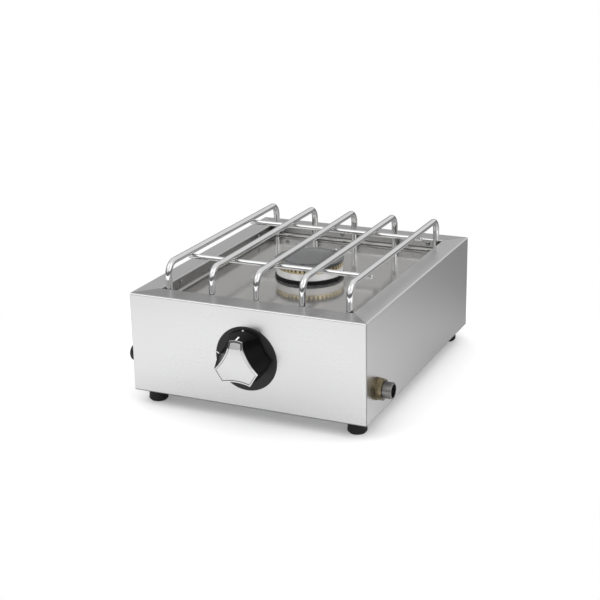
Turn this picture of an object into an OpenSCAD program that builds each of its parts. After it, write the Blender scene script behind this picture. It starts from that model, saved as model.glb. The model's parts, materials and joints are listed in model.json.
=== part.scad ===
/* [Casing] */
// Width of the casing
case_w = 300; // [290:1:330]
// Depth of the casing
case_d = 370; // [360:1:400]
// Height of the casing walls
case_h = 123; // [118:1:140]
// Thickness of the casing sheet
sheet = 1; // [0.8:0.1:1.2]
// Outer radius of the bends in the sheet
bend_r = 2; // [1.5:0.1:2.5]
// Width of the rim along the front
rim_front = 30; // [28:0.5:36]
// Width of the rim along the rear
rim_rear = 27; // [26:0.5:34]
// Width of the rim along each side
rim_side = 27.5; // [26:0.5:30]
// Height of the flange folded down round the well
flange_h = 11.1; // [10:0.1:12.5]
// Width of the sill folded in round the bottom
sill_w = 34; // [32:0.5:37]
// Gap at the mitred seams between two panels
seam = 0.2; // [0.1:0.05:0.3]

/* [Base plate] */
// Thickness of the base plate
base_t = 1; // [0.8:0.1:1.5]
// Overlap of the base plate on the sills
base_lap = 8; // [6:0.5:10]
// Length of an air slot
slot_len = 40; // [20:1:60]
// Width of an air slot
slot_w = 3.5; // [2.5:0.1:3.8]
// Pitch of the air slots
slot_pitch = 14; // [10:1:18]
// Distance from a row of air slots to the middle
slot_row = 60; // [40:1:70]
// Distance from the screws at the sides of the base plate to the middle
base_screw_y = 90; // [60:1:110]

/* [Feet] */
// Height of a rubber foot
foot_h = 17; // [15:0.5:25]
// Radius of a foot where it is widest
foot_r = 11.7; // [11:0.1:12.5]
// Radius of the top of a foot
foot_top_r = 10.5; // [9:0.1:11]
// Distance from a foot's centre to the side of the casing
foot_in_x = 19.7; // [18:0.1:21]
// Distance from a foot's centre to the front or rear of the casing
foot_in_y = 22.3; // [20:0.1:23]
// Leg length of the corner gussets
gusset = 34; // [32:0.5:37]
// Thickness of the corner gussets
gusset_t = 1.5; // [1:0.1:2]
// Depth of the counterbore in a foot
foot_bore = 9; // [7:0.5:11]

/* [Screws] */
// Radius of the screws through the feet
m5_r = 2.5; // [2.3:0.1:2.7]
// Radius of the heads of the foot screws
m5_head_r = 4.5; // [4:0.1:5]
// Height of the heads of the foot screws
m5_head_h = 3.5; // [3:0.1:4]
// Distance across the flats of the foot nuts
m5_nut_af = 8; // [7.5:0.1:9]
// Height of the foot nuts
m5_nut_h = 4; // [3:0.1:5]
// Radius of the medium screws and studs
m4_r = 2; // [1.8:0.1:2.2]
// Radius of the heads of the medium screws
m4_head_r = 3.5; // [3.2:0.1:3.8]
// Height of the heads of the medium screws
m4_head_h = 2.5; // [2:0.1:3]
// Distance across the flats of the medium nuts
m4_nut_af = 7; // [6.5:0.1:7.5]
// Height of the medium nuts
m4_nut_h = 3.2; // [2.5:0.1:4]
// Radius of the small screws
m3_r = 1.5; // [1.3:0.1:1.6]
// Radius of the round heads of the pan screws
round_head_r = 3; // [2.7:0.1:3.4]
// Height of the round heads of the pan screws
round_head_h = 2; // [1.5:0.1:2.2]
// Length of a screw past what it holds
screw_spare = 3; // [2:0.5:4]

/* [Drip pan] */
// Depth of the pan floor under the rim
well_depth = 16; // [15.5:0.1:18]
// Thickness of the pan sheet
pan_t = 0.8; // [0.6:0.1:1]
// Radius of the cove between the pan's floor and walls
cove_r = 4.5; // [3.5:0.1:4.8]
// Distance from a side fixing screw to the middle of the well
side_screw_y = 107.5; // [90:0.5:115]
// Distance from an outer front or rear fixing screw to the middle
end_screw_x = 103; // [98:0.5:107]
// Place of the middle rear fixing screw
mid_screw_x = -20; // [-35:0.5:-12]
// Depth of the fixing screws under the rim
pan_screw_drop = 6.2; // [5.5:0.1:7]

/* [Grate] */
// Radius of the U-shaped bars
bar_r = 4; // [3:0.1:4.5]
// Distance from the outer bars' axes to the sides of the well
bar_side = 6.5; // [6:0.5:14]
// Height of the bars' centre line over the rim
bar_rise = 29.2; // [28:0.1:40]
// Radius of the bend in a bar, at its centre line
bar_bend = 14.5; // [10:0.5:18]
// Clearance from a leg to the flange
leg_clear = 2; // [1.8:0.1:4]
// Chamfer at the foot of a leg
leg_chamfer = 1.5; // [1.2:0.1:2]
// Radius of the cross rods
cross_r = 3; // [2.5:0.1:3.5]
// Distance from the well's front edge to the front cross rod
cross_front = 65.5; // [50:0.5:80]
// Distance from the well's rear edge to the rear cross rod
cross_rear = 77.5; // [60:0.5:80]

/* [Burner] */
// Distance of the burner's axis behind the middle of the casing
burner_y = 2; // [0:0.5:6]
// Height of the base ring
ring_h = 4.5; // [3.5:0.1:6]
// Outer radius of the cup
cup_r = 42; // [38:0.1:48]
// How far the base ring stands out past the cup
ring_out = 1.4; // [1:0.1:2]
// Height of the cup over the base ring
cup_h = 9.1; // [8:0.1:11]
// How far the cup's spigot is drawn in from its wall
spigot_in = 6.5; // [6:0.1:8]
// Depth of the cup's spigot under the pan floor
spigot_depth = 7; // [6:0.1:9]
// Thickness of the cup's walls and floor
cup_wall = 4; // [3:0.1:4.2]
// How far the crown stands out past the cup
crown_out = 0.3; // [0.1:0.1:1]
// Thickness of the crown's wall over its skirt
crown_wall = 2; // [1.5:0.1:3]
// Depth of the crown's skirt in the cup
crown_skirt = 4.5; // [3:0.1:5]
// Height of the crown over the cup
crown_h = 6; // [5:0.1:7]
// Number of flame slots in the crown
slot_count = 48; // [36:1:60]
// Width of a flame slot
flame_slot = 2.2; // [1.2:0.1:2.4]
// Height of a flame slot
flame_slot_h = 4.4; // [3:0.1:4.6]
// How far the cap stands out past the crown
cap_out = 1.2; // [0.5:0.1:2]
// Thickness of the cap at its edge
cap_t = 4; // [3:0.1:4.5]
// Radius of the raised middle of the cap
cap_top_r = 33; // [25:0.5:38]
// Height of the raised middle of the cap
cap_top_h = 1; // [0.5:0.1:1.5]

/* [Sensors] */
// Distance from the cup's wall to the thermocouple's axis
probe_gap = 5; // [4.8:0.1:8]
// Bearing of the thermocouple round the burner
probe_angle = 67.6; // [60:0.5:75]
// Height of the thermocouple's tip over the rim
probe_rise = 8.7; // [6:0.1:10]
// Distance from the cup's wall to the electrode's axis
electrode_gap = 5.5; // [5.3:0.1:8]
// Bearing of the electrode round the burner
electrode_angle = 99; // [92:0.5:115]
// Height of the electrode's tip over the rim
electrode_rise = 7; // [5:0.1:10]

/* [Gas pipe] */
// Outer radius of the gas pipe
pipe_r = 10; // [9.5:0.1:10.5]
// Outer radius of the free inlet end, past the lock nut
inlet_r = 9.75; // [9:0.05:9.9]
// Bore radius of the gas pipe
pipe_bore_r = 7.75; // [7:0.05:8]
// Height of the pipe's axis over the bottom of the casing
pipe_z = 36; // [35:0.5:38]
// Distance of the pipe's axis behind the casing front
pipe_in = 30; // [29:0.5:32]
// Length of pipe outside the right wall
pipe_out_right = 21; // [16:0.5:40]
// Length of pipe outside the left wall
pipe_out_left = 12; // [11:0.5:20]
// Length of the end plug outside the pipe
plug_len = 6; // [4:0.5:12]
// Distance across the flats of the pipe's lock nuts
lock_nut_af = 24; // [23.5:0.5:27]
// Thickness of the pipe's lock nuts
lock_nut_t = 7.5; // [5:0.5:8]
// Radius of the pipe's washers
pipe_washer_r = 13.3; // [12.5:0.1:15]
// Thickness of the pipe's washers
pipe_washer_t = 2.5; // [1:0.1:2.5]

/* [Tap] */
// Place of the knob's axis to the right of the middle
knob_x = 2.3; // [-4:0.1:6]
// Height of the knob's axis over the bottom of the casing
knob_z = 61.5; // [61:0.5:64]
// Outer radius of the tap barrel
barrel_r = 11; // [10.5:0.1:12]
// Length of the tap barrel
barrel_len = 44; // [43:0.5:46]
// Radius of the wide end of the tap cone
cone_r = 7.5; // [7:0.1:7.8]
// Radius of the narrow end of the tap cone
cone_tip_r = 5.5; // [5:0.1:6]
// Radius of the stem
stem_r = 4; // [3.5:0.1:4]
// Outer radius of the gas supply tube
tube_r = 4; // [3:0.1:4]
// Centre line radius of the bends in the supply tube
tube_bend = 14; // [10:0.5:16]

/* [Knob] */
// Radius of the disc behind the knob
disc_r = 39; // [37:0.5:42]
// Thickness of the disc
disc_t = 1.2; // [1:0.1:1.5]
// Travel of the knob when it is pushed in
push = 3; // [2:0.1:3]
// Radius of the grip at its base
grip_base_r = 34.8; // [34:0.1:36]
// Radius of the grip at its face
grip_face_r = 30; // [29:0.1:31]
// Gap left between the grip and the disc when the knob is pushed in
grip_clear = 0.6; // [0.4:0.1:1.5]
// Distance from the panel to the grip's face
grip_face = 28.5; // [27:0.5:32]
// Wall thickness of the grip
grip_wall = 2.5; // [2:0.1:3]
// Width of the bright rim round the face plate
rim_w = 1.3; // [1:0.1:1.6]
// Thickness of the face plate
plate_t = 1.4; // [1.2:0.1:2]

/* [Hidden] */
$fn = 64;

// Small radii and lengths that two pieces share
stem_hole_r = 7;
peg_r = 2;
peg_x = 26;
probe_r = 2;
ceramic_r = 2.2;
pin_r = 0.7;
sensor_tail = 12;
pin_tail = 14;
piezo_rear = 17;
piezo_h = 20;
lead_bend = 8;

// Clearances and cutting allowance
cut = 1;
run_fit = 0.05;
slip_fit = 0.1;
hole_fit = 0.2;
loose_fit = 0.5;

// Place in plan at a distance and bearing from the burner, to a hundredth of a millimetre
function round_burner(d, a) = [round(100 * d * cos(a)) / 100, burner_y + round(100 * d * sin(a)) / 100];

// Levels over the table
sill_z = foot_h;
rim_z = foot_h + case_h;
lip_z = rim_z - flange_h;
floor_z = rim_z - well_depth;
pan_under = floor_z - pan_t;
ring_top = floor_z + ring_h;
cup_top = ring_top + cup_h;
crown_top = cup_top + crown_h;
cup_under = floor_z - spigot_depth;
bar_z = rim_z + bar_rise;
cross_z = bar_z - bar_r - cross_r - run_fit;
axis_z = sill_z + knob_z;
ramp_z = sill_z + pipe_z;

// Places in plan
half_w = case_w / 2;
half_d = case_d / 2;
open_x = half_w - rim_side;
open_front = rim_front - half_d;
open_rear = half_d - rim_rear;
well_x = open_x + sheet;
well_front = open_front - sheet;
well_rear = open_rear + sheet;
foot_x = half_w - foot_in_x;
foot_y = half_d - foot_in_y;
ramp_y = pipe_in - half_d;
probe_xy = round_burner(cup_r + probe_gap, probe_angle);
electrode_xy = round_burner(cup_r + electrode_gap, electrode_angle);
bar_pitch = (open_x - bar_side) / 2;

// Radii round the burner's axis
spigot_r = cup_r - spigot_in;
ring_r = cup_r + ring_out;
crown_r = cup_r + crown_out;
cap_r = crown_r + cap_out;
crown_inner = cup_r - cup_wall - crown_wall;
crown_drop = 1.6;

// Tap: the barrel lies along Y behind the front panel
barrel_front = ramp_y - 17;
barrel_rear = barrel_front + barrel_len;
cone_front = barrel_front + 9;
cone_rear = barrel_rear - 10;
outlet_y = barrel_rear - 8;
cover_t = 3;
strap_t = 2.5;
strap_ear_t = 3;
saddle_half = 8;
ear_half = 22;
strap_screw_y = 18;
cover_screw_x = 14.5;
cover_r = 9;
ear_r = 6.5;
ear_t = 4;
ear_h = 8;
saddle_gap = 0.5;
tube_in = 4;
flat_at = 0.7;
stem_in = 10;
collar_in = 0.3;
collar_t = 1.5;
push_pin_r = 1.3;
magnet_len = 16;
lead_nose = 4;
lead_nose_r = 4;

// Gas line under the burner
tube_x = -40;
holder_r = 10;
nose_r = 6;
nose_len = 6;
nut_af = 15;
post_y = 20;
cup_screw_x = 22;
bracket_t = 2;
bracket_x = 48;
bracket_half = 28;
stud_x = 60;
stud_y = 18;
stud_edge = 12;
mixer_r = 12;
mixer_flange = 4;
mixer_flange_t = 1.5;
arm_r = 3.5;
arm_low = 6.5;
gas_way_r = 2.5;
injector_r = 4;
injector_thread = 4;
seat_rise = 0.5;
injector_seat = axis_z + nose_r + seat_rise;
air_gap = 12;
mixer_bottom = injector_seat + air_gap;

// Origin: middle of the overall box, on the table
origin_x = (pipe_out_right - pipe_out_left - plug_len) / 2;
origin_y = -grip_face / 2;

// Moves a piece from the casing's own middle to the origin
module placed() {
    translate([-origin_x, -origin_y, 0]) children();
}

// Repeats a piece at four places, mirrored about the middle of the casing
module four_ways() {
    for (sx = [0, 1], sy = [0, 1])
        mirror([sx, 0, 0]) mirror([0, sy, 0]) children();
}

// Hexagonal prism from its distance across the flats
module hexagon(af, h) {
    cylinder(r = af / sqrt(3), h = h, $fn = 6);
}

// Straight round rod between two points
module rod(a, b, r) {
    d = b - a;
    translate(a)
        rotate([0, acos(d[2] / norm(d)), atan2(d[1], d[0])])
            cylinder(r = r, h = norm(d));
}

// Quarter bend at point p, from direction u into direction v
module elbow(p, u, v, bend, r) {
    w = cross(u, v);
    c = p + bend * (v - u);
    multmatrix([[-v[0], u[0], w[0], c[0]], [-v[1], u[1], w[1], c[1]],
        [-v[2], u[2], w[2], c[2]], [0, 0, 0, 1]])
        rotate_extrude(angle = 90)
            translate([bend, 0]) circle(r);
}

// Round rod along a path whose corners are all right angles
module bent_rod(path, bend, r) {
    last = len(path) - 1;
    for (i = [0 : last - 1]) {
        u = (path[i + 1] - path[i]) / norm(path[i + 1] - path[i]);
        a = i == 0 ? path[0] : path[i] + bend * u;
        b = i == last - 1 ? path[last] : path[i + 1] - bend * u;
        rod(a, b, r);
    }
    for (i = [1 : last - 1])
        elbow(path[i], (path[i] - path[i - 1]) / norm(path[i] - path[i - 1]),
            (path[i + 1] - path[i]) / norm(path[i + 1] - path[i]), bend, r);
}

// Quarter of a bend in the casing sheet
module sheet_bend() {
    intersection() {
        difference() {
            circle(bend_r);
            circle(bend_r - sheet);
        }
        square(bend_r);
    }
}

// Section of a casing panel: wall, rim, flange and sill
module panel_section(rim) {
    translate([bend_r, rim_z - bend_r]) mirror([1, 0]) sheet_bend();
    translate([rim - bend_r, rim_z - bend_r]) sheet_bend();
    translate([bend_r, sill_z + bend_r]) rotate(180) sheet_bend();
    translate([0, sill_z + bend_r]) square([sheet, case_h - 2 * bend_r]);
    translate([bend_r, rim_z - sheet]) square([rim - 2 * bend_r, sheet]);
    translate([rim - sheet, lip_z]) square([sheet, flange_h - bend_r]);
    translate([bend_r, sill_z]) square([sill_w - bend_r, sheet]);
}

// Outline of the casing with rounded upright corners
module casing_envelope() {
    translate([0, 0, sill_z - cut])
        linear_extrude(case_h + 2 * cut) {
            square([case_w - 2 * bend_r, case_d], center = true);
            square([case_w, case_d - 2 * bend_r], center = true);
            for (sx = [-1, 1], sy = [-1, 1])
                translate([sx * (half_w - bend_r), sy * (half_d - bend_r)]) circle(bend_r);
        }
}

// Mitred area of the front or rear panel in plan, y measured inwards from the outer face
module end_mitre(rim) {
    reach = 1.4;
    translate([0, -seam, sill_z - cut])
        linear_extrude(case_h + 2 * cut)
            polygon([[-half_w, 0], [half_w, 0], [half_w - reach * rim_side, reach * rim],
                [reach * rim_side - half_w, reach * rim]]);
}

// Mitred area of a side panel in plan, x measured inwards from the outer face
module side_mitre() {
    reach = 1.4;
    translate([-seam, 0, sill_z - cut])
        linear_extrude(case_h + 2 * cut)
            polygon([[0, -half_d], [reach * rim_side, reach * rim_front - half_d],
                [reach * rim_side, half_d - reach * rim_rear], [0, half_d]]);
}

// Holes for the feet and the base screws in the sills
module sill_holes() {
    four_ways() translate([foot_x, foot_y, sill_z - cut]) cylinder(r = m5_r + hole_fit, h = sheet + 2 * cut);
    base_screw_places() translate([0, 0, sill_z - cut]) cylinder(r = m4_r + hole_fit, h = sheet + 2 * cut);
}

// Holes for the pan screws in flanges and pan walls
module pan_screw_holes() {
    pan_screw_places() translate([0, 0, -cut]) cylinder(r = m3_r + hole_fit, h = sheet + pan_t + 2 * cut);
}

module front_panel() {
    color("gainsboro") placed() difference() {
        intersection() {
            translate([-half_w, -half_d, 0])
                rotate([90, 0, 90]) linear_extrude(case_w) panel_section(rim_front);
            translate([0, -half_d, 0]) end_mitre(rim_front);
            casing_envelope();
        }
        sill_holes();
        pan_screw_holes();
        on_panel() translate([0, 0, -sheet - cut]) cylinder(r = stem_hole_r, h = sheet + 2 * cut);
        on_panel() disc_peg_places() translate([0, 0, -sheet - cut])
            cylinder(r = peg_r + hole_fit, h = sheet + 2 * cut);
    }
}

module rear_panel() {
    color("gainsboro") placed() difference() {
        intersection() {
            translate([half_w, half_d, 0])
                rotate([90, 0, -90]) linear_extrude(case_w) panel_section(rim_rear);
            translate([0, half_d, 0]) mirror([0, 1, 0]) end_mitre(rim_rear);
            casing_envelope();
        }
        sill_holes();
        pan_screw_holes();
    }
}

// Left panel about the casing's middle
module side_panel() {
    difference() {
        intersection() {
            translate([-half_w, half_d, 0])
                rotate([90, 0, 0]) linear_extrude(case_d) panel_section(rim_side);
            translate([-half_w, 0, 0]) side_mitre();
            casing_envelope();
        }
        sill_holes();
        pan_screw_holes();
        translate([-half_w - cut, ramp_y, ramp_z])
            rotate([0, 90, 0]) cylinder(r = pipe_r + loose_fit, h = sheet + 2 * cut);
    }
}

module left_panel() {
    color("gainsboro") placed() side_panel();
}

module right_panel() {
    color("gainsboro") placed() mirror([1, 0, 0]) side_panel();
}

// Flat gussets that tie the sills together over each foot
module corner_gussets() {
    outer_x = half_w - bend_r - loose_fit;
    outer_y = half_d - bend_r - loose_fit;
    color("darkgray") placed() four_ways() difference() {
        translate([outer_x - gusset, outer_y - gusset, sill_z + sheet]) cube([gusset, gusset, gusset_t]);
        translate([foot_x, foot_y, sill_z]) cylinder(r = m5_r + hole_fit, h = sheet + gusset_t + cut);
    }
}

// Places of the screws that hold the base plate
module base_screw_places() {
    screw_x = half_w - sill_w + base_lap / 2;
    screw_y = half_d - sill_w + base_lap / 2;
    for (s = [-1, 1]) {
        translate([0, s * screw_y, 0]) children();
        for (t = [-1, 1])
            translate([s * screw_x, t * base_screw_y, 0]) children();
    }
}

module base_plate() {
    plate_x = half_w - sill_w + base_lap;
    plate_y = half_d - sill_w + base_lap;
    corner_x = half_w - bend_r - 2 * loose_fit - gusset;
    corner_y = half_d - bend_r - 2 * loose_fit - gusset;
    color("darkgray") placed() difference() {
        translate([-plate_x, -plate_y, sill_z + sheet]) cube([2 * plate_x, 2 * plate_y, base_t]);
        four_ways() translate([corner_x, corner_y, sill_z])
            cube([plate_x - corner_x + cut, plate_y - corner_y + cut, sheet + base_t + cut]);
        base_screw_places() translate([0, 0, sill_z]) cylinder(r = m4_r + hole_fit, h = sheet + base_t + cut);
        for (i = [-3 : 3], s = [-1, 1])
            translate([i * slot_pitch, s * slot_row, sill_z])
                slot_hole(slot_len, slot_w, sheet + base_t + cut);
    }
}

// Upright prism with rounded ends, long along Y
module slot_hole(length, width, h) {
    linear_extrude(h) {
        square([width, length - width], center = true);
        for (s = [-1, 1])
            translate([0, s * (length - width) / 2]) circle(width / 2);
    }
}

// Screws driven up through the sills into the base plate
module base_screws() {
    color("silver") placed() base_screw_places() {
        translate([0, 0, sill_z - m4_head_h]) cylinder(r1 = m4_head_r - 0.6, r2 = m4_head_r, h = m4_head_h);
        translate([0, 0, sill_z]) cylinder(r = m4_r, h = sheet + base_t + screw_spare);
    }
}

// Rubber foot with a counterbore for its screw, at one corner
module foot(sx, sy) {
    edge = 2;
    widest = 3;
    color("#1c1c1e") placed() translate([sx * foot_x, sy * foot_y, 0]) difference() {
        rotate_extrude() {
            polygon([[0, 0], [foot_r - edge, 0], [foot_r, widest], [foot_top_r, foot_h], [0, foot_h]]);
            intersection() {
                translate([foot_r - edge, widest]) circle(edge);
                translate([foot_r - edge, 0]) square([edge, widest]);
            }
        }
        translate([0, 0, -cut]) cylinder(r = m5_head_r + 2 * loose_fit, h = foot_bore + cut);
        cylinder(r = m5_r + hole_fit, h = foot_h + cut);
    }
}

module foot_screws() {
    color("silver") placed() four_ways() translate([foot_x, foot_y, 0]) {
        translate([0, 0, foot_bore - m5_head_h]) cylinder(r = m5_head_r, h = m5_head_h);
        translate([0, 0, foot_bore])
            cylinder(r = m5_r, h = foot_h - foot_bore + sheet + gusset_t + m5_nut_h + screw_spare);
    }
}

module foot_nuts() {
    color("silver") placed() four_ways()
        translate([foot_x, foot_y, sill_z + sheet + gusset_t]) difference() {
            hexagon(m5_nut_af, m5_nut_h);
            translate([0, 0, -cut]) cylinder(r = m5_r + run_fit, h = m5_nut_h + 2 * cut);
        }
}

// Block with rounded lower edges, open above, as the inside or outside of the pan
module pan_block(grow) {
    r = cove_r + grow;
    x = well_x + grow;
    front = well_front - grow;
    rear = well_rear + grow;
    bottom = floor_z - grow;
    top = rim_z - bend_r - hole_fit + (grow > 0 ? 0 : cut);
    intersection() {
        translate([0, rear, 0]) rotate([90, 0, 0]) linear_extrude(rear - front) {
            translate([-x, bottom + r]) square([2 * x, top - bottom - r]);
            translate([r - x, bottom]) square([2 * (x - r), r]);
            for (s = [-1, 1]) translate([s * (x - r), bottom + r]) circle(r);
        }
        translate([-x, 0, 0]) rotate([90, 0, 90]) linear_extrude(2 * x) {
            translate([front, bottom + r]) square([rear - front, top - bottom - r]);
            translate([front + r, bottom]) square([rear - front - 2 * r, r]);
            translate([front + r, bottom + r]) circle(r);
            translate([rear - r, bottom + r]) circle(r);
        }
    }
}

// Bright pan under the grate, fixed behind the flanges
module drip_pan() {
    color("lightgray") placed() difference() {
        pan_block(pan_t);
        pan_block(0);
        pan_screw_holes();
        translate([0, burner_y, pan_under - cut]) cylinder(r = spigot_r + 2 * loose_fit, h = pan_t + 2 * cut);
        translate([probe_xy[0], probe_xy[1], pan_under - cut])
            cylinder(r = probe_r + hole_fit, h = pan_t + 2 * cut);
        translate([electrode_xy[0], electrode_xy[1], pan_under - cut])
            cylinder(r = ceramic_r + hole_fit, h = pan_t + 2 * cut);
    }
}

// Puts a piece on each flange, with its Z axis pointing out of the well
module pan_screw_places() {
    z = rim_z - pan_screw_drop;
    for (s = [-1, 1]) {
        translate([open_x, s * side_screw_y, z]) rotate([0, 90, 0]) children();
        translate([-open_x, s * side_screw_y, z]) rotate([0, -90, 0]) children();
        translate([s * end_screw_x, open_front, z]) rotate([90, 0, 0]) children();
        translate([s * end_screw_x, open_rear, z]) rotate([-90, 0, 0]) children();
    }
    translate([mid_screw_x, open_rear, z]) rotate([-90, 0, 0]) children();
}

// Round-headed screws through the flanges into the pan walls
module pan_screws() {
    dome = round_head_r + 0.7;
    color("silver") placed() pan_screw_places() {
        mirror([0, 0, 1]) intersection() {
            cylinder(r = round_head_r, h = round_head_h);
            translate([0, 0, round_head_h - dome]) sphere(r = dome);
        }
        cylinder(r = m3_r, h = sheet + pan_t + screw_spare);
    }
}

// U-shaped round bar that stands on the pan floor
module grate_bar(index) {
    x = (index - 3) * bar_pitch;
    front = open_front + leg_clear + bar_r;
    rear = open_rear - leg_clear - bar_r;
    tip_r = bar_r - leg_chamfer;
    foot_top = floor_z + leg_chamfer;
    color("silver") placed() {
        bent_rod([[x, front, foot_top], [x, front, bar_z], [x, rear, bar_z], [x, rear, foot_top]],
            bar_bend, bar_r);
        for (y = [front, rear])
            translate([x, y, floor_z]) cylinder(r1 = tip_r, r2 = bar_r, h = leg_chamfer);
    }
}

// Round rod welded under the bars
module grate_cross_rod(y) {
    x = 2 * bar_pitch + bar_r;
    edge = 0.5;
    color("silver") placed() {
        rod([-x, y, cross_z], [x, y, cross_z], cross_r);
        for (s = [-1, 1])
            translate([s * x, y, cross_z]) rotate([0, s * 90, 0])
                cylinder(r1 = cross_r, r2 = cross_r - edge, h = edge);
    }
}

// Moves a piece to the burner's axis
module at_burner() {
    placed() translate([0, burner_y, 0]) children();
}

module burner_base_ring() {
    edge = 0.8;
    inner = spigot_r + loose_fit;
    color("#202022") at_burner() translate([0, 0, floor_z]) rotate_extrude()
        polygon([[inner, 0], [ring_r, 0], [ring_r, ring_h - edge], [ring_r - edge, ring_h], [inner, ring_h]]);
}

// Cast cup: flange and spigot outside, mixing chamber inside
module burner_cup() {
    edge = 0.6;
    chamber_r = spigot_r - cup_wall;
    socket_r = cup_r - cup_wall;
    socket_z = cup_top - crown_skirt - crown_drop;
    color("whitesmoke") at_burner() difference() {
        rotate_extrude()
            polygon([[0, cup_under], [spigot_r, cup_under], [spigot_r, ring_top], [cup_r - edge, ring_top],
                [cup_r, ring_top + edge], [cup_r, cup_top - edge], [cup_r - edge, cup_top], [0, cup_top]]);
        translate([0, 0, cup_under + cup_wall]) cylinder(r = chamber_r, h = cup_top);
        translate([0, 0, socket_z]) cylinder(r = socket_r, h = cup_top);
        translate([0, 0, cup_under - cut]) cylinder(r = mixer_r + slip_fit, h = cup_wall + 2 * cut);
        translate([0, 0, cup_under - cut])
            cylinder(r = mixer_r + mixer_flange + hole_fit, h = mixer_flange_t + cut);
        for (s = [-1, 1]) {
            translate([s * cup_screw_x, 0, cup_under - cut])
                cylinder(r = m4_r + run_fit, h = cup_wall + 2 * cut);
            translate([0, s * post_y, cup_under - cut]) cylinder(r = m4_r + run_fit, h = cup_wall + 2 * cut);
        }
    }
}

// Crown: one tooth between every two flame slots, located by a skirt in the cup
module burner_crown() {
    skirt = cup_r - cup_wall - slip_fit - hole_fit;
    edge = 0.4;
    color("#c9a227") at_burner() difference() {
        rotate_extrude()
            polygon([[crown_inner, cup_top - crown_skirt], [skirt, cup_top - crown_skirt], [skirt, cup_top],
                [crown_r, cup_top], [crown_r, crown_top - edge], [crown_r - edge, crown_top],
                [crown_inner, crown_top]]);
        for (i = [0 : slot_count - 1])
            rotate(i * 360 / slot_count)
                translate([crown_inner - cut, -flame_slot / 2, crown_top - flame_slot_h])
                    cube([crown_r - crown_inner + 2 * cut, flame_slot, flame_slot_h + cut]);
    }
}

// Enamelled cap with a raised middle, located by three lugs inside the crown
module burner_cap() {
    edge = 0.8;
    lug_r = crown_inner - loose_fit;
    lug_h = 3;
    lug_in = 4;
    lug_w = 6;
    root = 0.5;
    color("#151517") at_burner() {
        translate([0, 0, crown_top]) rotate_extrude()
            polygon([[0, 0], [cap_r - edge, 0], [cap_r, edge], [cap_r, cap_t - edge], [cap_r - edge, cap_t],
                [cap_top_r + cap_top_h, cap_t], [cap_top_r, cap_t + cap_top_h], [0, cap_t + cap_top_h]]);
        for (i = [0 : 2])
            rotate(30 + i * 120) intersection() {
                translate([lug_r - lug_in, -lug_w / 2, crown_top - lug_h])
                    cube([lug_in + cut, lug_w, lug_h + root]);
                translate([0, 0, crown_top - lug_h]) cylinder(r = lug_r, h = lug_h + root);
            }
    }
}

// Hat-shaped strap that carries the burner under the pan
module burner_bracket() {
    low = cup_under - bracket_t;
    flange_end = stud_x + stud_edge;
    color("darkgray") at_burner() difference() {
        union() {
            translate([-bracket_x, -bracket_half, low]) cube([2 * bracket_x, 2 * bracket_half, bracket_t]);
            for (s = [0, 1]) mirror([s, 0, 0]) {
                translate([bracket_x - bracket_t, -bracket_half, low])
                    cube([bracket_t, 2 * bracket_half, pan_under - low]);
                translate([bracket_x - bracket_t, -bracket_half, pan_under - bracket_t])
                    cube([flange_end - bracket_x + bracket_t, 2 * bracket_half, bracket_t]);
            }
        }
        translate([0, 0, low - cut]) cylinder(r = mixer_r + hole_fit, h = bracket_t + 2 * cut);
        for (s = [-1, 1]) {
            translate([s * cup_screw_x, 0, low - cut]) cylinder(r = m4_r + hole_fit, h = bracket_t + 2 * cut);
            translate([0, s * post_y, low - cut]) cylinder(r = m4_r + hole_fit, h = bracket_t + 2 * cut);
        }
        stud_places() translate([0, 0, pan_under - bracket_t - cut])
            cylinder(r = m4_r + hole_fit, h = bracket_t + 2 * cut);
    }
}

module stud_places() {
    for (sx = [-1, 1], sy = [-1, 1])
        translate([sx * stud_x, sy * stud_y, 0]) children();
}

// Studs welded under the pan floor
module bracket_studs() {
    length = bracket_t + m4_nut_h + screw_spare;
    color("silver") at_burner() stud_places() translate([0, 0, pan_under - length])
        cylinder(r = m4_r, h = length);
}

module bracket_nuts() {
    color("silver") at_burner() stud_places() translate([0, 0, pan_under - bracket_t - m4_nut_h])
        difference() {
        hexagon(m4_nut_af, m4_nut_h);
        translate([0, 0, -cut]) cylinder(r = m4_r + run_fit, h = m4_nut_h + 2 * cut);
    }
}

module cup_screws() {
    low = cup_under - bracket_t;
    color("silver") at_burner() for (s = [-1, 1]) translate([s * cup_screw_x, 0, 0]) {
        translate([0, 0, low - m4_head_h]) cylinder(r = m4_head_r, h = m4_head_h);
        translate([0, 0, low]) cylinder(r = m4_r, h = bracket_t + cup_wall);
    }
}

// Venturi tube from the injector up into the cup
module mixing_tube() {
    top = cup_under + cup_wall;
    lip = 2;
    wall = 1;
    throat_r = mixer_r - 4;
    throat_z = mixer_bottom + 0.4 * (top - mixer_bottom);
    flange_r = mixer_r + mixer_flange;
    flange_top = cup_under + mixer_flange_t;
    color("whitesmoke") at_burner() rotate_extrude()
        polygon([[mixer_r - wall, mixer_bottom], [mixer_r + lip, mixer_bottom], [mixer_r + lip,
            mixer_bottom + lip],
            [mixer_r, mixer_bottom + lip], [mixer_r, cup_under], [flange_r, cup_under], [flange_r,
                flange_top],
            [mixer_r, flange_top], [mixer_r, top], [mixer_r - 2.5 * wall, top], [throat_r, throat_z]]);
}

module injector() {
    hex_h = 6;
    nozzle_h = 3;
    bore_r = 2;
    jet_r = 0.6;
    color("#b8860b") at_burner() translate([0, 0, injector_seat]) difference() {
        union() {
            translate([0, 0, -injector_thread]) cylinder(r = injector_r, h = injector_thread);
            hexagon(2.5 * injector_r, hex_h);
            translate([0, 0, hex_h]) cylinder(r1 = injector_r, r2 = injector_r - 1, h = nozzle_h);
        }
        translate([0, 0, -injector_thread - cut]) cylinder(r = bore_r, h = injector_thread + hex_h);
        cylinder(r = jet_r, h = hex_h + nozzle_h + cut);
    }
}

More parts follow.
